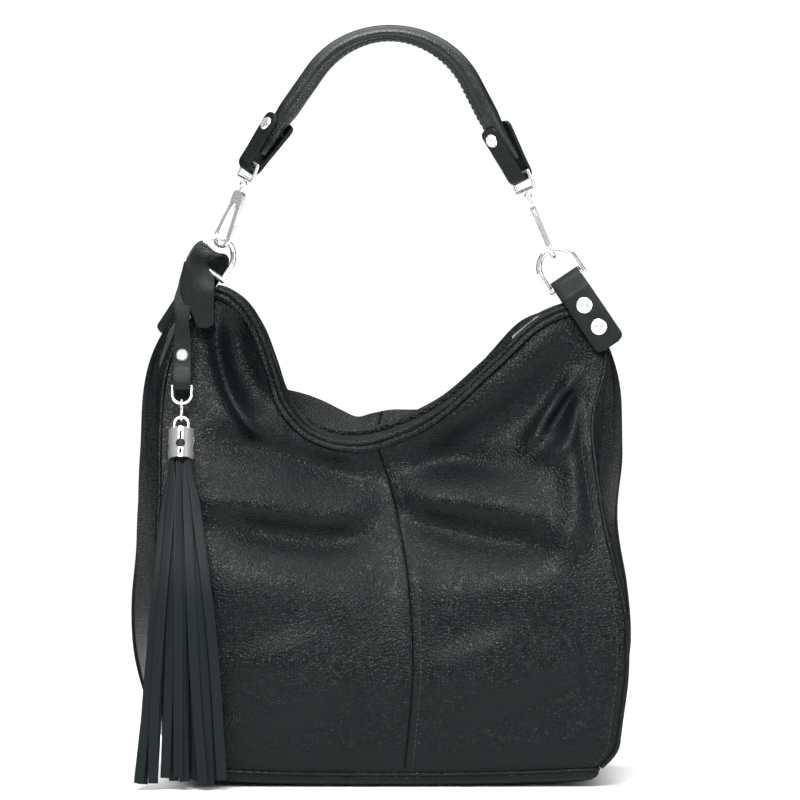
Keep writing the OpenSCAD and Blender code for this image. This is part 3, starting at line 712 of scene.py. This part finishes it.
def build_welts():
    """Piped seams at the four upright corners and round the base, with stitches."""
    for side, word in ((-1, "front"), (1, "back")):
        for s, beside, hand in ((0.0, 0.024, "left"), (1.0, 0.976, "right")):
            ts = np.linspace(0.004, 0.965, 120)
            p = wall(side, np.full(120, s), ts)
            out = unit(np.array([0.7 if s else -0.7, side * 0.7, 0.0]))
            lean = np.broadcast_to(out, p.shape)
            wave = 0.25 * np.sin(ts * 41)[:, None] * lean
            verts, faces = tube_parts(p + 0.5 * lean + wave, 1.75, 10, lean, 0.85)
            put(f"welt_{word}_{hand}", verts, faces, "bag",
                replaced=[f"seam_binding_{word}_{hand}"], crease=60, **BODY_LOOK)
            row = wall(side, np.full(120, beside), ts)
            normal = np.broadcast_to(np.array([0, side, 0.25]), row.shape)
            stitches(f"welt_stitches_{word}_{hand}", [(row, unit(normal))], "bag", THREAD,
                     slot="body_leather", pitch=4.2, length=3.0, r=0.36)
        row = wall(side, 0.5 + 5.4 / 305, np.linspace(0.012, 0.965, 140))
        normal = np.broadcast_to(np.array([0, side, 0.2]), row.shape)
        stitches(f"middle_stitches_{word}", [(row, unit(normal))], "bag", THREAD,
                 slot="body_leather", pitch=3.6, length=2.7, r=0.34)
    line = rounded_outline(4.6)
    loop = np.column_stack([line, SEAM_Z - 0.8 + end_lift(line[:, 0])])
    ahead = unit(np.roll(loop, -1, 0) - np.roll(loop, 1, 0))
    up = np.array([0, 0, 1.0])
    out = np.cross(ahead, up)
    turn = np.linspace(0, 2 * np.pi, 8, endpoint=False)
    rings = np.stack([loop + 1.3 * (math.cos(k) * out + math.sin(k) * up) for k in turn], 1)
    verts, faces = sweep_parts(rings, closed_path=True)
    put("base_piping", verts, faces, "bag", crease=60, **BODY_LOOK)


# ---------------------------------------------------------------- zip and inside
def build_zip():
    """Two tapes inside the rims, each with a row of small coil teeth along its edge."""
    tape_in = LINING_IN + LINING_T + 0.3
    for side, word in ((-1, "front"), (1, "back")):
        wall_shell(
            f"zip_cloth_{word}", side, np.linspace(0.08, 0.92, 90), np.linspace(0.94, 0.985, 8),
            tape_in, tape_in + 0.8, slot="zip_tape", material=TAPE, replaced=[f"zip_tape_{word}"])
        ss = np.linspace(0.1, 0.9, 260)
        line = wall(side, ss, np.full(260, 0.9625), tape_in + 1.6)
        (line,) = resample(line, 2.1)
        ahead = along(line)
        into = np.array([0, -side, 0.0])
        parts = []
        for p, t in zip(line, ahead):
            up = unit(np.cross(t, into))
            box = []
            for a, b, c in ((-1, -1, -1), (1, -1, -1), (1, 1, -1), (-1, 1, -1),
                            (-1, -1, 1), (1, -1, 1), (1, 1, 1), (-1, 1, 1)):
                box.append(p + 0.55 * a * t + 1.7 * b * up * (0.8 if c > 0 else 1) + 0.75 * c * into)
            parts.append((np.array(box), [[0, 3, 2, 1], [4, 5, 6, 7], [0, 1, 5, 4], [1, 2, 6, 5],
                                          [2, 3, 7, 6], [3, 0, 4, 7]]))
        verts, faces = join_parts(parts)
        put(f"zip_coil_{word}", verts, faces, "bag", "zip_tape", COIL, [f"zip_teeth_{word}"])


# ---------------------------------------------------------------- tabs
RING_LEFT = np.array([-121.0, 0, 355])
RING_RIGHT = np.array([130.0, 0, 347])
RING_LEAN = math.radians(34)
STRAP_T = 2.5
LOOSE_R, LOOSE_UP = 8.6, 2.5


def lean_about_y(points, angle, at):
    """Points turned about Y and then moved."""
    turn = np.array(Matrix.Rotation(angle, 3, "Y"))
    return points @ turn.T + at


def fold_path(r, reach, steps=18):
    """Middle line, in y and z, of a strap folded over a bar: front leg, loop, back leg."""
    mid = STRAP_T / 2
    leg = [(y + mid, z) for y, z in reach]
    arc = [((r + mid) * math.cos(a), (r + mid) * math.sin(a)) for a in np.linspace(0, math.pi, steps)]
    front = [(-y, z) for y, z in reversed(leg)]
    pts = front + [(y, z) for y, z in reversed(arc)] + leg
    return np.array([[0, y, z] for y, z in pts])


def even_path(points, spacing=1.5):
    return resample(np.asarray(points, float), spacing)[0]


def put_tab(hand, path, across, half):
    """A tab of two layers, which rides on no single body; follow_ring bakes its placement into its mesh."""
    verts, faces = strap_parts(path, across, half, STRAP_T, layers=2, corner=0.55)
    put(f"tab_strap_{hand}", verts, faces, None, "strap_leather", STRAP, [f"tab_{hand}"], crease=45)


def follow_ring(name):
    """Bakes a tab's placement into its mesh, which rides on no body."""
    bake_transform(bpy.data.objects[name])


def build_right_tab():
    """A strap folded close over the ring's bar."""
    fold = even_path(fold_path(2.7, [(10, -9), (12.4, -28), (13.2, -42), (14, -54)]), 1.2)
    wide = np.broadcast_to(np.array([1.0, 0, 0]), fold.shape)
    path = lean_about_y(fold, -RING_LEAN, RING_RIGHT)
    half = rounded_half(len(path), lengths_along(path)[-1], 11.2, 5.0)
    put_tab("right", path, lean_about_y(wide, -RING_LEAN, 0), half)
    follow_ring("tab_strap_right")


def build_left_tab():
    """A loose loop: its front leg hangs free and turned, its back leg is riveted down."""
    local = fold_path(LOOSE_R, [(11, -14), (12.8, -28), (14.6, -44), (16.5, -58)], 26)
    back = lean_about_y(local + np.array([1.0, 0, LOOSE_UP]), RING_LEAN, RING_LEFT)
    back = back[back[:, 1] > 5.5]
    front = [[-121.5, -22, 315], [-124, -23, 328], [-127, -23.5, 338], [-127.5, -22.5, 348],
             [-127.5, -19.5, 358], [-125.5, -13.5, 366], [-122, -5.5, 369], [-118, 1.5, 367.5]]
    path = even_path(path_curve(np.concatenate([front, back]))(np.linspace(0, 1, 160)), 1.3)
    run = lengths_along(path)
    bar = lean_about_y(np.array([[1.0, 0, 0]]), RING_LEAN, 0)[0]
    turned = np.array([0.85 * bar[0], 0.5, bar[2]])
    facing = np.array([1.0, -0.04, -0.08])
    over = (ease((run - 24) / 26) * ease((run[-1] - 30 - run) / 30))[:, None]
    behind = ease((run - 60) / 30)[:, None]
    half = smooth_curve([[0, 6.0], [12, 8.0], [22, 11.2], [34, 11.8], [46, 9.4], [56, 7.4], [64, 7.4],
                         [90, 9.4], [run[-1], 9.8]])(run)
    half = half - (9.0 - rounded_half(len(path), run[-1], 9.0, 4.0))
    put_tab("left", path, unit(mix(mix(facing, turned, over), bar, behind)), half)
    follow_ring("tab_strap_left")


# ---------------------------------------------------------------- handle
# The handle is an arch with a straight to each bail's loop
LOOP_LEFT = np.array([-91.0, 0, 429])
LOOP_RIGHT = np.array([96.0, 0, 422])
ARCH_AT = np.array([6.0, 0, 456])
ARCH_R = 64.0
HANDLE_R = 7.5
END_GAP, TAPER, END_R = 10, 36, 4.0
# Turn of the left and the right handle end about its own length
BAIL_TURN = (math.radians(-55), math.radians(-45))


def meet(p):
    """Angle above the horizontal at which the straight from p meets the arch."""
    d = p - ARCH_AT
    return math.atan2(d[2], abs(d[0])) + math.acos(ARCH_R / np.linalg.norm(d))


def arch_point(a):
    return ARCH_AT + ARCH_R * np.array([math.cos(a), 0, math.sin(a)])


ARCH_ANGLES = (math.pi - meet(LOOP_LEFT), meet(LOOP_RIGHT))


def straight(loop, angle, gap):
    """Ends of the straight between a bail's loop and the arch."""
    to = arch_point(angle)
    return [loop + unit(to - loop) * gap, to]


def roll_line():
    """Middle line of the rolled handle."""
    left, right = (straight(p, a, END_GAP) for p, a in zip((LOOP_LEFT, LOOP_RIGHT), ARCH_ANGLES))
    arch = [arch_point(a) for a in np.linspace(*ARCH_ANGLES, 60)]
    return even_path([left[0], *arch, right[0]], 1.6)


def build_handle():
    """A rolled tube with a stitched ridge along its lower front."""
    line = roll_line()
    run = lengths_along(line)
    end = np.minimum(run, run[-1] - run)
    radius = mix(END_R, HANDLE_R, np.clip(end / TAPER, 0, 1))
    ahead = along(line)
    inward = np.cross(ahead, np.array([0.0, 1.0, 0.0]))
    inward *= np.sign(-np.sum(inward * (line - ARCH_AT), -1, keepdims=True))
    front = np.broadcast_to(np.array([0.0, -1.0, 0.0]), line.shape)
    ridge_turn = np.radians(mix(66, 22, run / run[-1]))[:, None]
    ridge = np.cos(ridge_turn) * inward + np.sin(ridge_turn) * front
    side = np.cross(ahead, ridge)
    turn = np.linspace(-math.pi, math.pi, 44, endpoint=False)
    stand = 1.7 * np.exp(-((turn / 0.2) ** 2)) - 0.35 * np.exp(-(((np.abs(turn) - 0.5) / 0.16) ** 2))
    grow = ease(end / 12)[:, None]
    size = radius[:, None] + stand[None, :] * grow - 0.3
    rings = line[:, None, :] + size[..., None] * (
        np.cos(turn)[None, :, None] * ridge[:, None, :] + np.sin(turn)[None, :, None] * side[:, None, :])
    # The roll is pressed a little flat at the top of the arch, and widened at its ends
    thin = 0.2 * np.exp(-(((line[:, 0] - ARCH_AT[0]) / 44) ** 2))
    rings[..., 2] -= thin[:, None] * (rings[..., 2] - line[:, None, 2])
    flat = (7.8 / radius - 1) * (1 - ease(end / TAPER))
    for half_line, bail, loop, angle in ((run < run[-1] / 2, BAIL_TURN[0], LOOP_LEFT, ARCH_ANGLES[0]),
                                         (run >= run[-1] / 2, BAIL_TURN[1], LOOP_RIGHT, ARCH_ANGLES[1])):
        wide = along_frame(loop, arch_point(angle), bail)[:, 0]
        reach = (rings - line[:, None, :]) @ wide
        rings += (half_line * flat)[:, None, None] * reach[..., None] * wide
    verts, faces = sweep_parts(rings)
    put("handle_roll", verts, faces, "handle", "strap_leather", HANDLE, ["handle_cover", "handle_core"],
        crease=50)
    rows = []
    for sign in (-1, 1):
        points = line + (radius[:, None] + 0.3) * ridge + sign * 1.9 * side
        points[:, 2] -= thin * (points[:, 2] - line[:, 2])
        rows.append((points[8:-8], unit(ridge + 0.8 * sign * side)[8:-8]))
    stitches("handle_stitches", rows, "handle", THREAD, pitch=4.0, length=3.0, r=0.36, lift=0.25)
    for word, loop, angle, bail in zip(("left", "right"), (LOOP_LEFT, LOOP_RIGHT), ARCH_ANGLES, BAIL_TURN):
        build_handle_end(word, loop, angle, bail)


def along_frame(start, end, turn):
    """Columns of the frame whose Z runs from start to end, turned about itself."""
    d = end - start
    pitch = math.acos(d[2] / np.linalg.norm(d))
    heading = math.atan2(d[1], d[0])
    facing = Matrix.Rotation(heading, 3, "Z") @ Matrix.Rotation(pitch, 3, "Y")
    return np.array(facing @ Matrix.Rotation(turn - heading, 3, "Z"))


def build_handle_end(word, loop, angle, bail):
    """A doubled strap folded round the bail and riveted over the end of the roll."""
    turn = along_frame(loop, arch_point(angle), bail)
    reach = [(4.3, 10), (5.0, 16), (6.3, 30), (7.0, 38)]
    mid = STRAP_T / 2
    leg = [(y + mid, z) for y, z in reach]
    arc = [((3.7 + mid) * math.cos(a), -(3.7 + mid) * math.sin(a)) for a in np.linspace(0, math.pi, 16)]
    pts = [(-y, z) for y, z in reversed(leg)] + list(reversed(arc)) + leg
    local = even_path([[0, y, z] for y, z in pts], 1.1)
    across = np.broadcast_to(np.array([1.0, 0, 0]), local.shape)
    half = rounded_half(len(local), lengths_along(local)[-1], 7.2, 5.5)
    path = local @ turn.T + loop
    wide = across @ turn.T
    verts, faces = strap_parts(path, wide, half, STRAP_T, layers=2, corner=0.55)
    put(f"handle_loop_{word}", verts, faces, "handle", "strap_leather", STRAP, [f"handle_end_{word}"],
        crease=45)


# ---------------------------------------------------------------- tassel
TASSEL_X = -138.0
STRAP_W = 12.6
# Line of the fringe, in y and z: out of the cap, over the bag's swell, down to the floor
FRINGE_PATH = [[-45.9, 228.5], [-49.8, 217], [-60, 186], [-75, 140], [-79, 80], [-79, 4]]


def build_tassel_strap():
    """Two layers of strap hang from the ring and close round the shackle's bar."""
    front = [[-131.5, -9.5, 364], [-133.5, -14.0, 358], [-136, -18.0, 350], [TASSEL_X, -21.5, 338],
             [TASSEL_X, -24.4, 324], [TASSEL_X, -25.2, 306], [TASSEL_X, -26.3, 296],
             [TASSEL_X, -28.2, 287], [TASSEL_X, -31.6, 279.5],
             [TASSEL_X, -31.8, 273.5], [TASSEL_X, -29.2, 271.4], [TASSEL_X, -26.6, 273.5],
             [TASSEL_X, -26.4, 279.5], [TASSEL_X, -26.0, 290], [TASSEL_X, -23.4, 306],
             [TASSEL_X, -19.0, 324], [-137, -14.5, 340], [-135.5, -10.5, 352], [-134.0, -6.5, 360]]
    path = even_path(path_curve(front)(np.linspace(0, 1, 200)), 1.3)
    k = np.linspace(0, 1, len(path))
    across = unit(np.column_stack([np.ones_like(k), -0.25 * ease((0.14 - k) / 0.14), 0 * k]))
    height = path[:, 2]
    half = STRAP_W / 2 - 1.6 * np.exp(-(((height - 318) / 9) ** 2)) - 2.6 * ease((height - 330) / 15)
    verts, faces = strap_parts(path, across, half, 1.5, layers=1, corner=0.4)
    put("tassel_hanger", verts, faces, "tassel_strap", "strap_leather", STRAP, ["tassel_strap"],
        crease=45)


def fringe_strip(k, depth, seed):
    """One strip of the fringe: k places it from -1 at the left to 1 at the right."""
    rng = random.Random(seed)
    drift, twist = rng.uniform(-4, 4), rng.uniform(-0.5, 0.5)
    wave, phase = rng.uniform(0.8, 2.4), rng.uniform(0, 6.3)
    end = rng.uniform(3.5, 11)
    count = 46
    d = np.linspace(0, 1, count)
    path = path_curve([[0, y, z] for y, z in FRINGE_PATH])(d)
    path[:, 2] = np.maximum(path[:, 2] + (end - 4) * d, 2.0)
    spread_out = mix(4.8, 27.0, d ** 0.75)
    path[:, 0] = TASSEL_X + 3.0 * d + k * spread_out + drift * d * d + wave * np.sin(phase + 5 * d) * d
    path[:, 1] += depth * mix(1.0, 1.5, d) + 0.8 * np.sin(phase * 1.7 + 7 * d) * d
    top = 1 - ease(d / 0.14)
    around = k * 1.2 * math.pi / 2
    path[:, 0] = mix(path[:, 0], TASSEL_X + 6.0 * math.sin(around), top)
    angle = twist * np.sin(1.5 + 3 * d + phase) + 0.5 * k * (1 - d)
    across = np.column_stack([np.cos(angle), np.sin(angle), 0 * d])
    half = mix(1.7, 3.4, ease(d / 0.2))
    return strap_parts(path, across, half, 1.3, layers=1, corner=0.35)


def build_fringe():
    """Two rows of cut strips hang out of the metal cap."""
    for row, count, depth, replaced in (("outer", 8, -2.2, "tassel_fringe_outer"),
                                        ("inner", 7, 1.9, "tassel_fringe_inner")):
        for i in range(count):
            k = mix(-1, 1, i / (count - 1))
            verts, faces = fringe_strip(k, depth + 0.9 * (-1) ** i, 31 * i + len(row) + count)
            put(f"fringe_{row}_{i + 1}", verts, faces, "tassel", "fringe_leather", FRINGE,
                [replaced] if i == 0 else [], crease=40)


# ---------------------------------------------------------------- nodes kept from the frame
def dress_nodes():
    """Materials of the frame's own nodes that still show, nearly all of them metal."""
    for name, node in nodes.items():
        if node.hide_render:
            continue
        look = NICKEL
        if "rivet" in name:
            look = SATIN
        if name.startswith("lining"):
            look = LINING
        if name == "tassel_core":
            look = STRAP
        node.data.materials.clear()
        node.data.materials.append(look)


# ---------------------------------------------------------------- room, light, camera
CAMERA_AIM = Vector((0.013, 0.0, 0.264))
CAMERA_AWAY = 3.0
CAMERA_RISE = math.radians(2.0)


def build_floor():
    bpy.ops.mesh.primitive_circle_add(vertices=96, radius=1.15, fill_type="NGON")
    floor = bpy.context.object
    floor.name = "floor"
    pale = Look("floor_paper")
    pale.bump(pale.noise(30, 2), 0.05)
    floor.data.materials.append(pale.finish((0.92, 0.92, 0.92), 0.75))


def build_world():
    """White to the camera; for all other rays a soft fill, brighter from the front."""
    world = bpy.data.worlds.new("studio")
    world.use_nodes = True
    tree = world.node_tree
    back = tree.nodes["Background"]
    back.inputs["Color"].default_value = (0.97, 0.985, 1.0, 1)
    seen = tree.nodes.new("ShaderNodeLightPath")
    way = tree.nodes.new("ShaderNodeTexCoord")
    parts = tree.nodes.new("ShaderNodeSeparateXYZ")
    tree.links.new(way.outputs["Generated"], parts.inputs[0])
    fill = tree.nodes.new("ShaderNodeMapRange")
    for key, number in zip(MAP_KEYS, (-1.0, 0.4, 0.42, 0.04)):
        fill.inputs[key].default_value = number
    tree.links.new(parts.outputs["Y"], fill.inputs["Value"])
    power = tree.nodes.new("ShaderNodeMapRange")
    power.inputs["To Max"].default_value = 1.1
    tree.links.new(fill.outputs["Result"], power.inputs["To Min"])
    tree.links.new(seen.outputs["Is Camera Ray"], power.inputs["Value"])
    tree.links.new(power.outputs["Result"], back.inputs["Strength"])
    bpy.context.scene.world = world


def softbox(name, at, aim, size, power):
    data = bpy.data.lights.new(name, "AREA")
    data.shape = "RECTANGLE"
    data.size, data.size_y = size
    data.energy = power
    lamp = bpy.data.objects.new(name, data)
    lamp.location = at
    lamp.rotation_euler = (Vector(aim) - Vector(at)).to_track_quat("-Z", "Y").to_euler()
    bpy.context.scene.collection.objects.link(lamp)


def build_lights():
    softbox("overhead", (0, 0.1, 2.1), (0, 0, 0), (3.4, 2.6), 88)
    softbox("key", (-0.2, -1.9, 2.0), (0, 0, 0.2), (1.5, 0.8), 90)
    softbox("left_strip", (-1.7, -1.3, 0.5), (0, 0, 0.3), (0.35, 1.2), 2.5)
    softbox("right_strip", (1.7, -1.2, 0.6), (0, 0, 0.3), (0.4, 1.2), 14)


def build_camera():
    data = bpy.data.cameras.new("camera")
    data.lens = 193
    data.sensor_width = 36
    camera = bpy.data.objects.new("camera", data)
    away = Vector((0, -math.cos(CAMERA_RISE), math.sin(CAMERA_RISE)))
    camera.location = CAMERA_AIM + away * CAMERA_AWAY
    camera.rotation_euler = (CAMERA_AIM - camera.location).to_track_quat("-Z", "Y").to_euler()
    bpy.context.scene.collection.objects.link(camera)
    bpy.context.scene.camera = camera
    bpy.context.scene.view_settings.view_transform = "Standard"


build_walls()
build_base()
build_rims()
build_welts()
build_zip()
build_right_tab()
build_left_tab()
build_handle()
build_tassel_strap()
build_fringe()
dress_nodes()
build_floor()
build_world()
build_lights()
build_camera()
